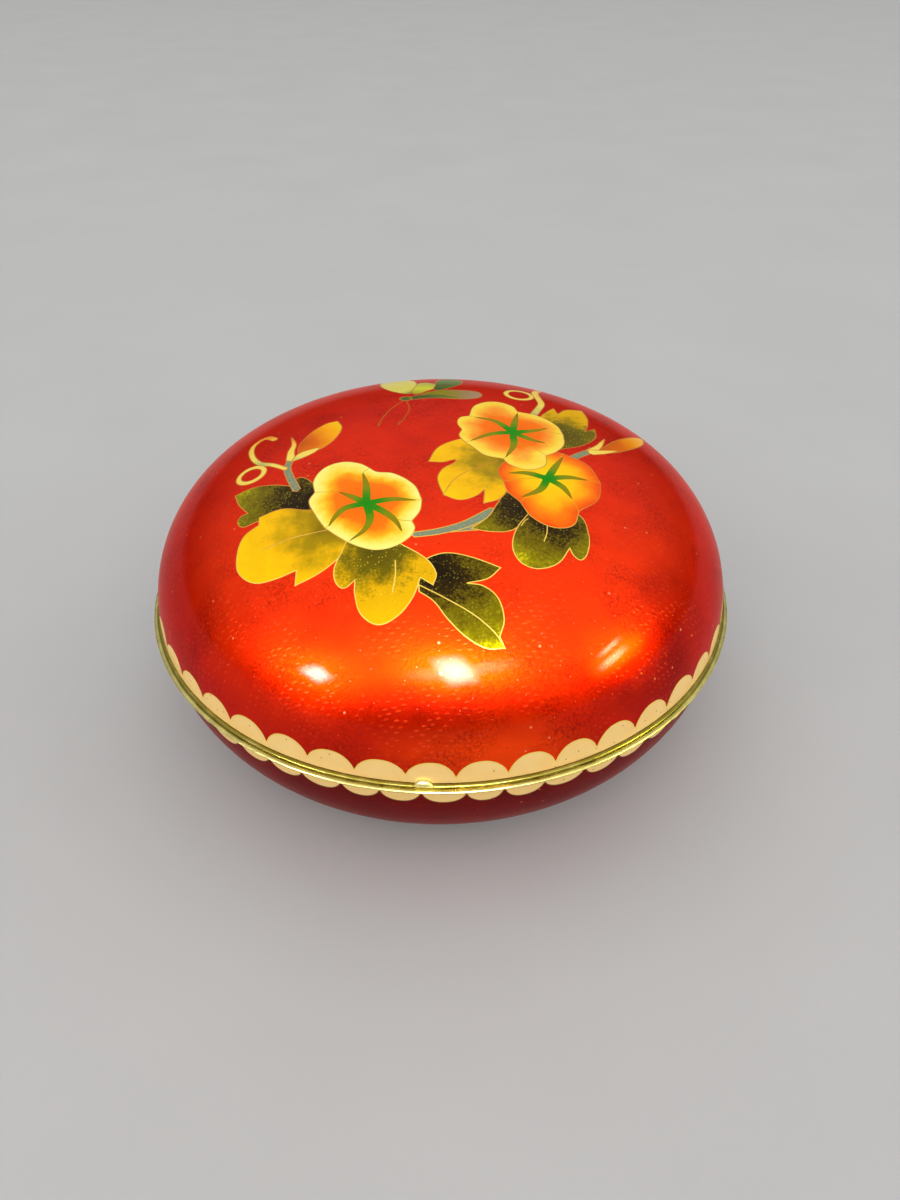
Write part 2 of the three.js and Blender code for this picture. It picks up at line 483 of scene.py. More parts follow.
def butterfly():
    """A butterfly on the far side of the lid, with its head and feelers towards the flowers."""
    return [
        curved([
            (-6.4, 25.4), (-10.4, 26.8), (-13.4, 31.8), (-14, 38.5), (-11.6, 43.6), (-7.8, 40), (-5.6, 33),
        ], "pale_wing", (-6, 25), 19),
        curved([(-6, 24.8), (-3, 26.8), (-0.6, 30.4), (-2, 33), (-4.6, 33.8), (-5.8, 30)],
               "yellow_wing", (-6, 24), 13),
        curved([(-1.2, 27.2), (1.8, 29), (4.4, 33), (4.2, 37.6), (1.2, 39.4), (-1, 36), (-1.4, 31)],
               "dark_wing", (-2, 25), 13),
        curved([(-4.4, 23.4), (0.6, 22), (5.6, 21.6), (8.6, 23.4), (8, 26.2), (4.6, 27.2), (-1, 26.8)],
               "lilac_wing", (-5, 24), 14),
        band([(-7.4, 21.8), (-4, 23), (0, 23.2), (4.2, 22)],
             lambda t: 2.4 * math.sin(math.pi * (0.2 + 0.75 * t)), "dark_wing", (-7.4, 21.8), 12),
        Cell(ellipse((-7.6, 22), 1.3, 1.2), "dark_wing", (-7.6, 22), 2),
        band([(-8, 21), (-10.4, 16.6), (-12, 12), (-12.6, 8.6)], feeler_width, "feeler", wired=False),
        band([(-7.4, 20.8), (-6.6, 16.4), (-7.4, 12), (-8.6, 9.2)], feeler_width, "feeler", wired=False),
    ]


# ---------------------------------------- meshes


def inlay(skin, cells):
    """Triangles of the flat map, each with the index of the uppermost cell over it, or WIRED over a wire."""
    layers = [(circle(skin.edge, AROUND), 0)]
    for index, cell in enumerate(cells[1:], start=1):
        if cell.wired:
            layers.append((grown(cell.outline, WIRE / 2), WIRED))
            layers.append((grown(cell.outline, -WIRE / 2), index))
        else:
            layers.append((cell.outline, WIRED if cell.enamel == "wire" else index))
    if skin.start:
        layers.append((circle(skin.reach[1], AROUND), 1))
        layers.append((circle(skin.start, AROUND), HOLE))
    edges, first = [], 0
    for outline, _ in layers:
        count = len(outline)
        edges += [(first + i, first + (i + 1) % count) for i in range(count)]
        first += count
    points = np.vstack([outline for outline, _ in layers])
    coords = [tuple(p) for p in np.vstack([points, infill(skin, points)])]
    flat, _, triangles, *_ = delaunay_2d_cdt(coords, edges, [], 0, 1e-4, False)
    flat = np.array([tuple(p) for p in flat])
    triangles = np.array([list(t) for t in triangles])
    middles = flat[triangles].mean(axis=1)
    owners = np.full(len(triangles), HOLE)
    for outline, owner in layers:
        owners[covered(middles, outline)] = owner
    kept = owners != HOLE
    return flat, triangles[kept], owners[kept]


def covered(points, outline):
    """Which points the outline runs round anticlockwise."""
    turns = np.zeros(len(points), int)
    x, y = points[:, 0], points[:, 1]
    low, high = outline.min(axis=0), outline.max(axis=0)
    near = np.flatnonzero((x > low[0]) & (x < high[0]) & (y > low[1]) & (y < high[1]))
    x, y = x[near], y[near]
    for (x0, y0), (x1, y1) in zip(outline, np.roll(outline, -1, axis=0)):
        left = (x1 - x0) * (y - y0) - (x - x0) * (y1 - y0)
        turns[near] += ((y0 <= y) & (y < y1) & (left > 0)).astype(int) - ((y1 <= y) & (y < y0) & (left < 0))
    return turns > 0


def infill(skin, outlines):
    """Staggered points inside the edge, none of them close to an outline."""
    taken = {(round(x / CLEAR), round(y / CLEAR)) for x, y in outlines}
    points = []
    rows = int(skin.edge / GRID) + 1
    for j in range(-rows, rows + 1):
        for i in range(-rows - 1, rows + 2):
            x, y = (i + 0.5 * (j % 2)) * GRID, j * GRID * ROWS
            reach = math.hypot(x, y)
            if not skin.start + EDGE_CLEAR < reach < skin.edge - EDGE_CLEAR:
                continue
            key = (round(x / CLEAR), round(y / CLEAR))
            if all((key[0] + a, key[1] + b) not in taken for a in (-1, 0, 1) for b in (-1, 0, 1)):
                points.append((x, y))
    return np.array(points)


def new_object(name, data):
    made = bpy.data.objects.new(name, data)
    bpy.context.scene.collection.objects.link(made)
    return made


def ring_points(radius, z, count):
    turn = np.linspace(0, 2 * math.pi, count, endpoint=False)
    return np.column_stack([radius * np.cos(turn), radius * np.sin(turn), np.full(count, z)])


class Body:
    """Collects a closed mesh: an inlaid skin, and plain turned surfaces that start on its edges."""

    def __init__(self, name):
        self.name = name
        self.points, self.normals, self.flats = [], [], []
        self.faces, self.slots, self.tones, self.batches = [], [], [], []
        self.count = 0

    def add_points(self, points, normals, flats=None):
        first = self.count
        self.points.append(points)
        self.normals.append(normals)
        self.flats.append(np.zeros((len(points), 2)) if flats is None else flats)
        self.count += len(points)
        return first

    def add_face(self, corners, slot, tones=None, batch=0.5):
        self.faces.append(corners)
        self.slots.append(slot)
        self.tones.extend(tones if tones is not None else [0.0] * len(corners))
        self.batches.extend([batch] * len(corners))

    def add_inlay(self, skin, cells):
        """Returns the vertices on the skin's outer edge and, if it has one, on its inner edge."""
        flat, triangles, owners = inlay(skin, cells)
        used, triangles = np.unique(triangles, return_inverse=True)
        triangles = triangles.reshape(-1, 3)
        flat = flat[used]
        self.add_points(*skin.place(flat), flat)
        if skin.start:
            triangles = triangles[:, ::-1]
        for owner in np.unique(owners):
            mine = triangles[owners == owner]
            cell = cells[owner] if owner != WIRED else None
            tones = cell.tone(flat[mine.ravel()]).reshape(-1, 3) if cell else np.zeros(mine.shape)
            for corners, tone in zip(mine.tolist(), tones.tolist()):
                self.add_face(corners, cell.enamel if cell else "wire", tone, cell.batch if cell else 0.5)
        reach = np.hypot(flat[:, 0], flat[:, 1])
        turn = np.round(np.arctan2(flat[:, 1], flat[:, 0]), 5)
        rims = []
        for radius in (skin.edge, skin.start):
            on = np.flatnonzero(np.abs(reach - radius) < 0.005)
            rims.append(on[np.argsort(turn[on])].tolist())
        return rims

    def add_turned(self, rim, profile, slot, side):
        """Carries a row of vertices on along a profile, with faces turned by the sign of side."""
        previous = rim
        slope = np.gradient(profile, axis=0)
        for (r, z), (dr, dz) in zip(profile[1:], slope[1:]):
            if r < 1e-6:
                tip = self.add_points(np.array([[0, 0, z]]), np.array([[0, 0, side]]))
                for i, a in enumerate(previous):
                    b = previous[(i + 1) % len(previous)]
                    self.add_face([a, b, tip][:: int(side)], slot)
                return
            length = math.hypot(dr, dz)
            row = ring_points(r, z, len(rim))
            normals = ring_points(side * dz / length, -side * dr / length, len(rim))
            first = self.add_points(row, normals)
            current = list(range(first, first + len(rim)))
            for i in range(len(rim)):
                j = (i + 1) % len(rim)
                self.add_face([previous[i], previous[j], current[j], current[i]][:: int(side)], slot)
            previous = current

    def build(self):
        names = sorted(set(self.slots))
        mesh = bpy.data.meshes.new(self.name)
        places = np.vstack(self.points) * MM
        mesh.from_pydata([tuple(p) for p in places], [], self.faces)
        for name in names:
            mesh.materials.append(FINISHES[name]())
        mesh.polygons.foreach_set("material_index", [names.index(s) for s in self.slots])
        mesh.polygons.foreach_set("use_smooth", [True] * len(self.faces))
        for name, values in (("tone", self.tones), ("batch", self.batches)):
            layer = mesh.attributes.new(name, "FLOAT", "CORNER")
            layer.data.foreach_set("value", values)
        flats = np.vstack(self.flats)
        layer = mesh.attributes.new("flat", "FLOAT_VECTOR", "POINT")
        layer.data.foreach_set("vector", np.column_stack([flats, np.zeros(len(flats))]).ravel())
        mesh.update()
        mesh.normals_split_custom_set_from_vertices([tuple(n) for n in np.vstack(self.normals)])
        return new_object(self.name, mesh)


def lid_enamel():
    skin = Skin(lid_outside())
    ground = scallop_line(skin.edge, count=44, first=3.0, cusp_gap=1.35, depth=3.3)
    cells = [
        Cell(circle(skin.edge, AROUND), "scallop", wired=False),
        Cell(ground, "ground"),
        *left_spray(),
        *right_spray(),
        *butterfly(),
    ]
    body = Body("lid_enamel")
    edge, _ = body.add_inlay(skin, cells)
    inside = lid_inside()
    body.add_turned(edge, np.vstack([[lid_high[0], lid_low[2]], inside]), "counter_enamel", -1)
    return body.build()


def base_enamel():
    skin = Skin(base_outside(), start=FOOT_RADIUS)
    ground = scallop_line(skin.edge, count=52, first=4.2, cusp_gap=1.15, depth=2.6)
    # The base's ground is the lid's red darkened as painted shade.
    cells = [Cell(circle(skin.edge, AROUND), "scallop", wired=False), Cell(ground, "base_ground")]
    body = Body("base_enamel")
    edge, foot = body.add_inlay(skin, cells)
    body.add_turned(edge, np.vstack([[base_high[0], base_high[2]], base_inside()]), "counter_enamel", 1)
    body.add_turned(foot, np.vstack([[FOOT_RADIUS, 0], base_underside()]), "counter_enamel", -1)
    return body.build()


def bead(radius, low, high):
    """A ring's rounded edge, from its lower to its upper face."""
    angle = np.linspace(-math.pi / 2, math.pi / 2, BEAD_STEPS + 1)
    z = (low + high + (high - low) * np.sin(angle)) / 2
    return np.column_stack([radius - BEAD_DEPTH * (1 - np.cos(angle)), z])


def turned_ring(name, section, shape, is_solder=None):
    """A closed ring. shape(azimuth, r, z) gives each point's place, with the azimuth from the front."""
    count = len(section)
    azimuths = np.linspace(0, 2 * math.pi, RING_AROUND, endpoint=False)
    places = []
    for azimuth in azimuths:
        for r, z in section:
            r2, z2 = shape(azimuth, r, z)
            places.append((r2 * math.sin(azimuth) * MM, -r2 * math.cos(azimuth) * MM, z2 * MM))
    faces = []
    for i in range(RING_AROUND):
        here, there = i * count, (i + 1) % RING_AROUND * count
        for k in range(count):
            after = (k + 1) % count
            faces.append((here + k, there + k, there + after, here + after))
    mesh = bpy.data.meshes.new(name)
    mesh.from_pydata(places, [], faces)
    mesh.materials.append(FINISHES["brass"]())
    if is_solder:
        mesh.materials.append(FINISHES["solder"]())
        slots = [int(is_solder(azimuth)) for azimuth in azimuths for _ in section]
        mesh.polygons.foreach_set("material_index", slots)
    mesh.polygons.foreach_set("use_smooth", [True] * len(faces))
    mesh.set_sharp_from_angle(angle=math.radians(50))
    return new_object(name, mesh)


def lid_ring():
    low = lid_rim_low[2]
    high = low + RIM_HEIGHT
    section = [*bead(lid_rim_high[0], low, high), (RIM_INNER_RADIUS, high), (RIM_INNER_RADIUS, low)]

    def from_solder(azimuth):
        away = (azimuth - SOLDER_AZIMUTH + math.pi) % (2 * math.pi) - math.pi
        return abs(away) * lid_rim_high[0] / SOLDER_HALF_WIDTH

    def shape(azimuth, r, z):
        if r < lid_high[0]:
            return r, z
        lump = math.exp(-(from_solder(azimuth) ** 6))
        top = (z - low) / RIM_HEIGHT
        wave = 0.02 * math.sin(9 * azimuth + 1) + 0.015 * math.sin(31 * azimuth)
        rise = SOLDER_RISE * (lid_rim_high[2] - high)
        return r - abs(wave) + lump * SOLDER_SWELL * math.sqrt(top), z + lump * top * rise

    return turned_ring("lid_ring", section, shape, lambda azimuth: from_solder(azimuth) < 1.2)


def base_ring():
    low, high = base_rim_low[2], base_rim_low[2] + RIM_HEIGHT
    top = base_rim_high[2]
    inner = COLLAR_RADIUS - COLLAR_THICKNESS
    section = [
        *bead(base_rim_high[0], low, high),
        (COLLAR_RADIUS, high),
        (COLLAR_RADIUS, top - COLLAR_THICKNESS / 2),
        (COLLAR_RADIUS - COLLAR_THICKNESS / 3, top),
        (inner, top),
        (inner, low),
    ]

    def shape(azimuth, r, z):
        wave = 0.025 * math.sin(7 * azimuth) + 0.015 * math.sin(26 * azimuth + 2)
        return r - abs(wave) * (r > base_high[0]), z

    return turned_ring("base_ring", section, shape)


# ---------------------------------------- finishes


def srgb(red, green, blue):
    """A colour given as it looks, 0 to 255, as the linear value that a shader takes."""
    shares = (red / 255, green / 255, blue / 255)
    return tuple(c / 12.92 if c <= 0.04045 else ((c + 0.055) / 1.055) ** 2.4 for c in shares)


class Nodes:
    """Short ways to add nodes to a tree. Inputs take a value or another node's output.

    They go by name or, as i0, i1 and so on, by number.
    """

    def __init__(self, tree):
        self.tree = tree

    def add(self, kind, settings=None, **inputs):
        node = self.tree.nodes.new(kind)
        for key, value in (settings or {}).items():
            setattr(node, key, value)
        for key, value in inputs.items():
            self.put(node, key.replace("_", " "), value)
        return node

    def put(self, node, key, value):
        socket = node.inputs[int(key[1:]) if key[0] == "i" and key[1:].isdigit() else key]
        if isinstance(value, bpy.types.NodeSocket):
            self.tree.links.new(value, socket)
        else:
            socket.default_value = value

    def math(self, operation, a, b, clamp=False):
        settings = {"operation": operation, "use_clamp": clamp}
        return self.add("ShaderNodeMath", settings, i0=a, i1=b).outputs[0]

    def vector(self, operation, a, b=(0, 0, 0), output="Vector"):
        return self.add("ShaderNodeVectorMath", {"operation": operation}, i0=a, i1=b).outputs[output]

    def split(self, vector):
        return self.add("ShaderNodeSeparateXYZ", Vector=vector).outputs

    def fade(self, value, none_at, all_at, course="LINEAR"):
        """0 where the value is at none_at, 1 where it is at all_at, and between them a gradual change."""
        return self.add("ShaderNodeMapRange", {"interpolation_type": course}, Value=value, From_Min=none_at,
                        From_Max=all_at).outputs["Result"]

    def ramp(self, factor, stops):
        node = self.add("ShaderNodeValToRGB", Fac=factor)
        while len(node.color_ramp.elements) < len(stops):
            node.color_ramp.elements.new(0.5)
        for element, (place, colour) in zip(node.color_ramp.elements, stops):
            element.position = place
            element.color = (*colour, 1)
        return node.outputs["Color"]


class Finish(Nodes):
    """A material."""

    def __init__(self, name):
        self.material = bpy.data.materials.new(name)
        self.material.use_nodes = True
        super().__init__(self.material.node_tree)
        self.shader = self.tree.nodes["Principled BSDF"]
        self.coords = self.add("ShaderNodeTexCoord").outputs["Object"]
        self.flat = self.attribute("flat", "Vector")

    def set(self, **inputs):
        for key, value in inputs.items():
            self.put(self.shader, key.replace("_", " "), value)

    def attribute(self, name, output="Fac"):
        return self.add("ShaderNodeAttribute", {"attribute_name": name}).outputs[output]

    def noise(self, size, detail, roughness=0.55):
        """Noise whose blobs are about size millimetres across."""
        return self.add("ShaderNodeTexNoise", Vector=self.coords, Scale=1 / (size * MM), Detail=detail,
                        Roughness=roughness).outputs["Fac"]

    def swing(self, size, amount, detail=3.0):
        """Noise that goes up and down from 0 by about half the amount."""
        return self.math("MULTIPLY", self.math("SUBTRACT", self.noise(size, detail), 0.5), amount)

    def mix(self, factor, a, b, blend="MIX"):
        a, b = ((*c, 1) if isinstance(c, tuple) else c for c in (a, b))
        settings = {"data_type": "RGBA", "blend_type": blend}
        return self.add("ShaderNodeMix", settings, i0=factor, i6=a, i7=b).outputs[2]

    def cover(self, colour, mask, share, other):
        """The colour, with a share of another one where the mask is 1."""
        return self.mix(self.math("MULTIPLY", mask, share), colour, other)

    def patch(self, centre, size):
        """1 at a place of the flat map, fading to 0 at the half sizes of a ragged oval round it."""
        offset = self.vector("DIVIDE", self.vector("SUBTRACT", self.flat, (*centre, 0)), (*size, 1))
        distance = self.vector("LENGTH", offset, output="Value")
        return self.fade(self.math("ADD", distance, self.swing(3, 0.5)), 1.0, 0.2)

    def bump(self, height, depth):
        return self.add("ShaderNodeBump", Strength=1.0, Distance=depth * MM, Height=height).outputs["Normal"]

    def specks(self, spacing, radius, share, scatter=1.0, flatness=1.0, tilt=0.0, shift=0.0):
        """Specks on the flat map, one in each square of the spacing, in only a share of the squares."""
        places = self.vector("ADD", self.flat, (shift, shift, 0))
        squares = self.add("ShaderNodeTexVoronoi", {"voronoi_dimensions": "2D"}, Vector=places,
                           Scale=1 / spacing, Randomness=scatter)
        offset = self.vector("SUBTRACT", places, squares.outputs["Position"])
        turned = self.add("ShaderNodeVectorRotate", {"rotation_type": "Z_AXIS"}, Vector=offset, Angle=-tilt)
        drawn = self.vector("MULTIPLY", turned.outputs[0], (1, flatness, 0))
        distance = self.vector("LENGTH", drawn, output="Value")
        lot = self.add("ShaderNodeSeparateColor", Color=squares.outputs["Color"]).outputs[0]
        chosen = self.math("LESS_THAN", lot, share)
        return self.math("MULTIPLY", self.fade(distance, radius, radius * 0.45), chosen)


FINISHES = {}


def list_finish(name, build):
    """Lists a finish under a name. Its material is made once, when it is first asked for."""

    @functools.cache
    def get():
        made = Finish(name)
        build(made)
        return made.material

    FINISHES[name] = get


def finish(build):
    list_finish(build.__name__, build)
    return build


# Polished clear flux over the colours.
GLAZE = {"Coat_Weight": 0.34, "Coat_Roughness": 0.03, "Coat_IOR": 1.3, "Specular_IOR_Level": 0.0}
# Short dashes pressed into the foil in rows. A second set staggers them by half their spacing.
DASHES = {"spacing": 2.0, "radius": 0.6, "share": 0.85, "scatter": 0.45, "flatness": 2.3, "tilt": 0.15}
# Bubbles and pits in the enamel over it: spacing, radius and share of squares; strength; colour.
FLAWS = (
    ((4.2, 0.3, 0.12), 0.75, (255, 140, 96)),
    ((1.9, 0.15, 0.16), 0.6, (255, 110, 80)),
    ((2.6, 0.16, 0.07), 0.8, (50, 6, 4)),
)


def foil(f, colour, dash_painted_sheen):
    """Translucent enamel over pressed foil, its dashes made paler with a painted sheen."""
    dashes = f.math("MAXIMUM", f.specks(**DASHES), f.specks(**DASHES, shift=DASHES["spacing"] / 2))
    dashes = f.math("MULTIPLY", dashes, f.fade(f.noise(9, 2), 0.42, 0.62))
    grain = f.noise(0.5, 4, 0.65)
    speckled = f.math("MULTIPLY", f.fade(grain, 0.4, 0.68), f.fade(f.noise(11, 3), 0.44, 0.68))
    colour = f.cover(colour, speckled, 0.8, f.mix(1.0, colour, srgb(150, 90, 90), "MULTIPLY"))
    # The dashes' paler colour is a painted sheen, where the pressed foil catches the light.
    colour = f.cover(colour, dashes, 0.2, dash_painted_sheen)
    for kind, strength, tint in FLAWS:
        colour = f.cover(colour, f.specks(*kind), strength, srgb(*tint))
    height = f.math("ADD", f.math("MULTIPLY", dashes, 0.6), grain)
    f.set(Base_Color=colour, Metallic=0.9, Roughness=0.38, Specular_Tint=(1.0, 0.25, 0.1, 1.0),
          Normal=f.bump(height, 0.03), **GLAZE)


@finish
def ground(f):
    """Red, more orange on the crown as painted light, with a painted reflection of the floor low at the
    front and painted shade in deeper patches of the wall.
    """
    height = f.split(f.coords)["Z"]
    # Painted light: the crown is a lighter orange, and the wall below it a deeper red as painted shade.
    crown_painted_light = f.math("ADD", f.fade(height, 42 * MM, 53 * MM), f.swing(14, 1.4, 2), clamp=True)
    colour = f.mix(crown_painted_light, srgb(204, 30, 0), srgb(246, 52, 0))
    # A painted reflection of the floor: an orange patch low on the front of the wall.
    colour = f.mix(f.patch((12, -68.5), (27, 10)), colour, srgb(252, 66, 0))
    # Painted shade: deeper red patches on the wall below the lamps' highlights.
    for centre, size in (((0, -60.5), (21, 6.5)), ((33, -53), (12, 6)), ((45, -42), (13, 18))):
        colour = f.cover(colour, f.patch(centre, size), 0.85, srgb(150, 14, 0))
    foil(f, colour, srgb(255, 96, 44))


@finish
def base_ground(f):
    """The lower half's red, darkened to a wine red: painted shade, as this half faces down away from the
    light.
    """
    foil(f, f.mix(f.noise(16, 2), srgb(96, 6, 2), srgb(138, 14, 6)), srgb(150, 34, 26))


def shaded(f, stops, grain=0.1, grain_size=0.5, clouds=0.25, sparkle=0.0, sparkle_colour=(255, 220, 60)):
    """Enamel shaded along its cell's tone, its edges broken up by grains."""
    batch = f.math("MULTIPLY", f.math("SUBTRACT", f.attribute("batch"), 0.5), 0.08)
    tone = f.math("ADD", f.attribute("tone"), batch)
    rough = f.swing(grain_size, 1.0, 4)
    tone = f.math("ADD", tone, f.math("MULTIPLY", rough, grain))
    tone = f.math("ADD", tone, f.swing(4, clouds, 2))
    colour = f.ramp(tone, [(place, srgb(*shade)) for place, *shade in stops])
    if sparkle:
        glints = f.math("MULTIPLY", f.specks(0.6, 0.15, sparkle), f.fade(f.noise(1.6, 2), 0.4, 0.7))
        colour = f.cover(colour, glints, 0.8, srgb(*sparkle_colour))
    f.set(Base_Color=colour, Metallic=0.2, Roughness=0.4, Normal=f.bump(rough, 0.02), **GLAZE)


# The shaded enamels. Each stop is a tone with its red, green and blue.
SHADED = {
    "cream_petal": dict(stops=[
        (0.0, 255, 100, 0), (0.56, 255, 122, 0), (0.7, 255, 176, 20), (0.79, 255, 218, 60),
        (0.9, 255, 240, 116), (1.0, 255, 248, 140),
    ], clouds=0.3),
    "salmon_petal": dict(stops=[
        (0.0, 255, 98, 0), (0.56, 255, 118, 0), (0.76, 255, 168, 50), (0.88, 255, 212, 60),
        (1.0, 255, 224, 84),
    ], clouds=0.3),
    "orange_petal": dict(stops=[
        (0.0, 255, 216, 0), (0.52, 255, 196, 0), (0.78, 255, 130, 0), (1.0, 246, 74, 0),
    ], clouds=0.3),
    "yellow_leaf": dict(stops=[
        (0.0, 140, 114, 0), (0.3, 172, 138, 0), (0.48, 214, 166, 0), (0.66, 250, 188, 0),
        (1.0, 255, 204, 0),
    ], grain=0.25, clouds=0.8),
    "olive_leaf": dict(stops=[
        (0.0, 84, 72, 0), (0.34, 112, 98, 0), (0.5, 176, 140, 0), (0.62, 232, 176, 0), (1.0, 242, 186, 0),
    ], grain=0.4, clouds=0.6, sparkle=0.3),
    "dark_leaf": dict(stops=[
        (0.0, 30, 18, 0), (0.26, 54, 38, 0), (0.42, 100, 84, 0), (0.7, 130, 116, 0), (0.88, 160, 148, 0),
        (1.0, 214, 200, 0),
    ], grain=0.8, clouds=0.7, sparkle=0.5, sparkle_colour=(176, 164, 50)),
    "seam": dict(stops=[(0.0, 214, 150, 0), (1.0, 226, 160, 10)]),
    "calyx": dict(stops=[
        (0.0, 14, 140, 0), (0.25, 50, 140, 0), (0.5, 132, 140, 0), (0.8, 150, 128, 0), (1.0, 136, 104, 0),
    ]),
    "stem": dict(stops=[
        (0.0, 96, 112, 100), (1.0, 132, 142, 112),
    ], grain=1.0, grain_size=1.2, sparkle=0.9, sparkle_colour=(214, 210, 170)),
    "tendril": dict(stops=[
        (0.0, 170, 176, 110), (0.3, 248, 222, 100), (0.75, 252, 208, 80), (1.0, 246, 150, 40),
    ]),
    "bud": dict(stops=[(0.0, 190, 74, 0), (0.4, 226, 108, 0), (0.72, 255, 166, 0), (1.0, 255, 194, 0)]),
    "pale_wing": dict(stops=[
        (0.0, 120, 130, 50), (0.2, 228, 216, 96), (0.7, 226, 208, 110), (1.0, 200, 188, 140),
    ]),
    "yellow_wing": dict(stops=[(0.0, 150, 150, 40), (0.35, 222, 214, 60), (1.0, 146, 158, 84)]),
    "lilac_wing": dict(stops=[
        (0.0, 128, 128, 0), (0.4, 144, 132, 16), (0.8, 168, 134, 96), (1.0, 176, 140, 116),
    ]),
    "dark_wing": dict(stops=[(0.0, 66, 78, 30), (1.0, 110, 130, 50)]),
    "feeler": dict(stops=[(0.0, 150, 60, 6), (1.0, 190, 90, 10)]),
}
for name, looks in SHADED.items():
    list_finish(name, functools.partial(shaded, **looks))


@finish
def scallop(f):
    """Opaque peach enamel with small dark pits."""
    tint = f.mix(f.noise(3, 3), srgb(255, 204, 124), srgb(255, 220, 146))
    colour = f.cover(tint, f.specks(2.2, 0.2, 0.16), 0.8, srgb(110, 76, 34))
    f.set(Base_Color=colour, Roughness=0.35, Normal=f.bump(f.noise(0.8, 3), 0.02), **GLAZE)


@finish
def wire(f):
    """Gilt wire, lighter towards the front and low on the lid as painted light, and dark on the lower half
    as painted shade.
    """
    place = f.split(f.coords)
    # Painted light: the wires are lighter towards the front and low on the lid's wall.
    near = f.math("ADD", f.fade(place["Y"], -16 * MM, -34 * MM), f.swing(9, 1.2, 2), clamp=True)
    wire_painted_light = f.math("MAXIMUM", near, f.fade(place["Z"], 42 * MM, 38 * MM))
    gilt = f.mix(wire_painted_light, srgb(208, 124, 10), f.mix(f.noise(0.8, 3), srgb(250, 200, 50), srgb(255, 234, 110)))
    # Painted shade: the wires are dark on the lower half.
    colour = f.mix(f.fade(place["Z"], 27 * MM, 31 * MM), srgb(138, 84, 14), gilt)
    f.set(Base_Color=colour, Metallic=0.4, Roughness=0.3, Normal=f.bump(f.noise(0.3, 2), 0.01))


@finish
def counter_enamel(f):
    """Plain dark enamel inside the box and under it."""
    colour = f.mix(f.noise(5, 4), srgb(20, 32, 66), srgb(34, 50, 90))
    f.set(Base_Color=colour, Roughness=0.3, Normal=f.bump(f.noise(1.5, 3), 0.05), **GLAZE)


@finish
def brass(f):
    """Worn brass with fine scratches: olive on the lid's ring, tarnish with painted shade, and paler on the
    base's ring, a painted sheen.
    """
    height = f.split(f.coords)["Z"]
    # The lid's ring is darkened by painted shade as well as tarnish, and the base's ring is made paler by a
    # painted sheen.
    tarnish_and_painted_shade = f.math("ADD", f.fade(height, 29 * MM, 29.5 * MM), f.swing(3, 1.2, 5), clamp=True)
    colour = f.mix(tarnish_and_painted_shade, srgb(224, 210, 130), srgb(138, 124, 50))
    scratches = f.math("ADD", f.noise(0.6, 4), f.noise(2.5, 2))
    f.set(Base_Color=colour, Metallic=1.0, Roughness=f.math("ADD", f.swing(1.2, 0.2), 0.3),
          Normal=f.bump(scratches, 0.02))


@finish
def solder(f):
    colour = f.mix(f.noise(1, 3), srgb(230, 220, 164), srgb(196, 184, 120))
    f.set(Base_Color=colour, Metallic=0.8, Roughness=0.45, Normal=f.bump(f.noise(0.6, 3), 0.1))


@finish
def floor(f):
    colour = f.mix(f.noise(60, 3), srgb(184, 184, 183), srgb(192, 192, 191))
    f.set(Base_Color=colour, Roughness=0.8, Specular_IOR_Level=0.0, Normal=f.bump(f.noise(2, 4), 0.02))


# ---------------------------------------- stage

CAMERA_PLACE = (0.00189, -0.15544, 0.14593)
CAMERA_PITCH = 38.63  # degrees below the level
FOCAL_LENGTH = 27.03
LAMP_DISTANCE = 1.2
FILL_SIZE = (2.4, 1.2)


def add_camera():
    camera = new_object("camera", bpy.data.cameras.new("camera"))
    camera.data.lens = FOCAL_LENGTH
    camera.location = CAMERA_PLACE
    camera.rotation_euler = (math.radians(90 - CAMERA_PITCH), 0, 0)
    bpy.context.scene.camera = camera


def add_floor():
    half, cells = 3.0, 24
    mesh = bpy.data.meshes.new("floor")
    side = np.linspace(-half, half, cells + 1)
    points = [(x, y, 0.0) for y in side for x in side]
    row = cells + 1
    faces = [(j * row + i, j * row + i + 1, (j + 1) * row + i + 1, (j + 1) * row + i)
             for j in range(cells) for i in range(cells)]
    mesh.from_pydata(points, [], faces)
    mesh.materials.append(FINISHES["floor"]())
    new_object("floor", mesh)


def hang(name, size, energy, place, away, turn=0.0):
    """Hangs a rectangular lamp that shines against the direction away from what it lights."""
    data = bpy.data.lights.new(name, "AREA")
    data.shape = "RECTANGLE"
    data.size, data.size_y = size
    data.energy = energy
    lamp = new_object(name, data)
    lamp.location = place
    aim = Vector(away).to_track_quat("Z", "Y")
    lamp.rotation_euler = (aim @ Quaternion((0, 0, 1), math.radians(turn))).to_euler()
    return lamp


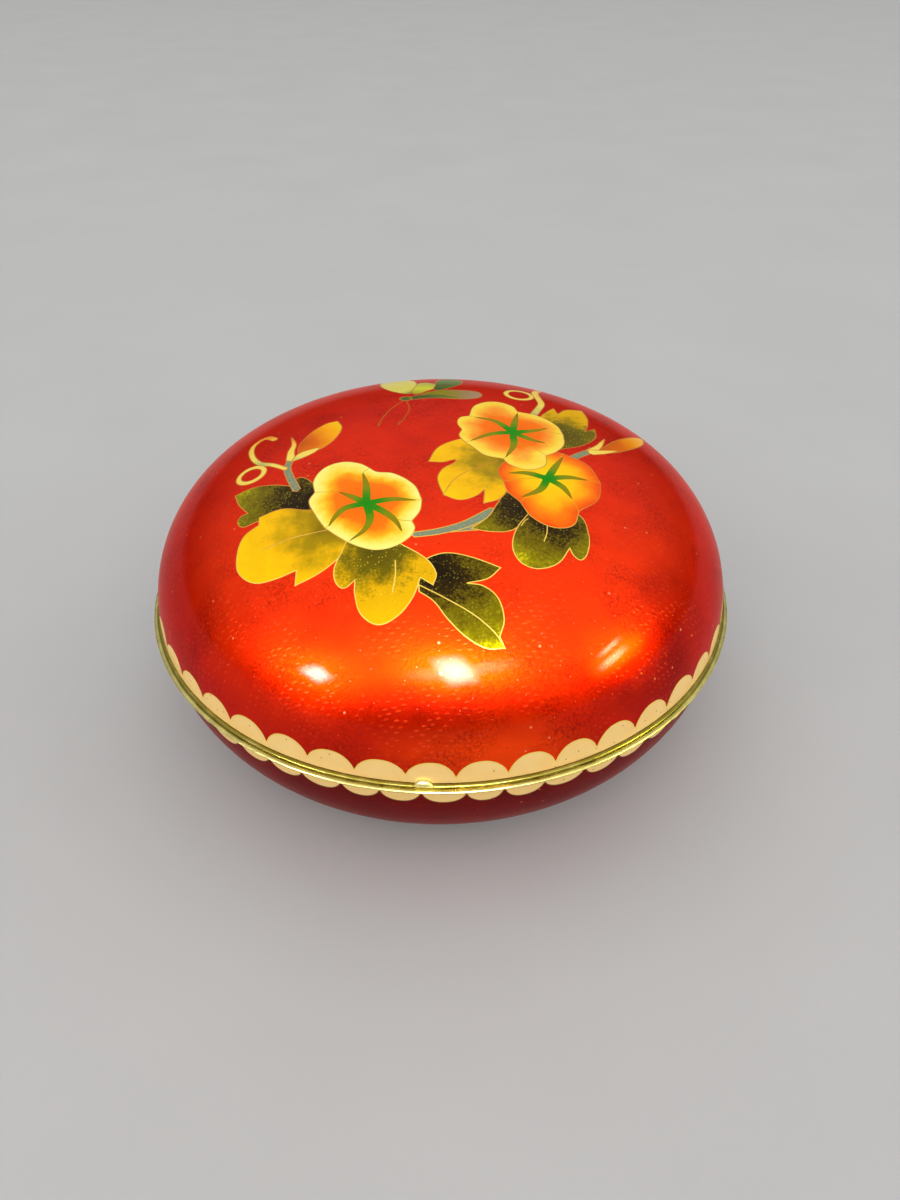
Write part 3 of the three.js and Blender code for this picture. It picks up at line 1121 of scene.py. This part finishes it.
def add_lamp(name, spot, size, radiance, turn, core, colour=(1, 1, 1)):
    """A lamp that the camera sees mirrored at a spot of the lid's flat map.

    It is fully bright out to a share of its half size, its core, and fades from there to its edge.
    """
    place, normal = (rows[0] for rows in Skin(lid_outside()).place(np.array([spot], float)))
    to_eye = unit(np.array(CAMERA_PLACE) - place * MM)
    away = 2 * normal.dot(to_eye) * normal - to_eye
    energy = radiance * math.pi * size[0] * size[1]
    lamp = hang(name, size, energy, place * MM + away * LAMP_DISTANCE, away, turn)
    lamp.data.color = colour
    lamp.visible_diffuse = False
    lamp.data.use_nodes = True
    nodes = Nodes(lamp.data.node_tree)
    on_lamp = nodes.add("ShaderNodeNewGeometry").outputs["Parametric"]
    off_centre = nodes.split(nodes.vector("ABSOLUTE", nodes.vector("SUBTRACT", on_lamp, (0.5, 0.5, 0))))
    shares = [nodes.fade(off_centre[axis], 0.5, core / 2, "SMOOTHSTEP") for axis in ("X", "Y")]
    nodes.put(nodes.tree.nodes["Emission"], "Strength", nodes.math("MULTIPLY", *shares))


def add_fill(name, place, energy):
    """A large soft lamp that leaves no mirror image."""
    hang(name, FILL_SIZE, energy, place, place).visible_glossy = False


def add_sky():
    """Soft light from all round, brightest from above. The sky is darkest just over the horizon."""
    world = bpy.data.worlds.new("studio")
    world.use_nodes = True
    nodes = Nodes(world.node_tree)
    direction = nodes.split(nodes.add("ShaderNodeTexCoord").outputs["Generated"])
    shades = [(0.0, 0.26), (0.06, 0.1), (0.2, 0.17), (0.4, 0.46), (0.65, 0.8), (1.0, 1.0)]
    colour = nodes.ramp(direction["Z"], [(height, (shade, shade, shade)) for height, shade in shades])
    background = nodes.tree.nodes["Background"]
    nodes.put(background, "Color", colour)
    nodes.put(background, "Strength", 1.05)
    bpy.context.scene.world = world


def add_lights():
    add_sky()
    add_fill("front_fill", (0, -1.6, 1.3), 13)
    add_fill("left_fill", (-2.0, -0.5, 0.9), 9)
    add_fill("right_fill", (2.0, -0.5, 0.9), 9)
    add_lamp("left", (-21.1, -52.7), (0.27, 0.28), 160, turn=-25, core=0.2)
    add_lamp("middle", (2.9, -54.0), (0.3, 0.56), 132, turn=15, core=0.25)
    add_lamp("middle_band", (3.9, -54.0), (0.95, 0.26), 28, turn=6, core=0.1)
    warm = (1.0, 0.8, 0.5)
    add_lamp("right_low", (31.2, -48.5), (0.36, 0.14), 95, turn=8, core=0.1, colour=warm)
    add_lamp("right_high", (30.0, -46.9), (0.3, 0.12), 85, turn=8, core=0.1, colour=warm)
    add_lamp("right_glow", (32.0, -47.6), (0.7, 0.45), 26, turn=0, core=0.0, colour=(0.6, 1.0, 0.0))


add_camera()
add_floor()
add_lights()
bpy.context.scene.view_settings.view_transform = "Standard"

for build, node, material_slot in (
    (lid_enamel, "lid_shell", "enamel"),
    (base_enamel, "base_shell", "enamel"),
    (lid_ring, "lid_rim", "brass"),
    (base_ring, "base_rim", "brass"),
):
    piece = build()
    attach(piece, "root")
    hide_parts(node)
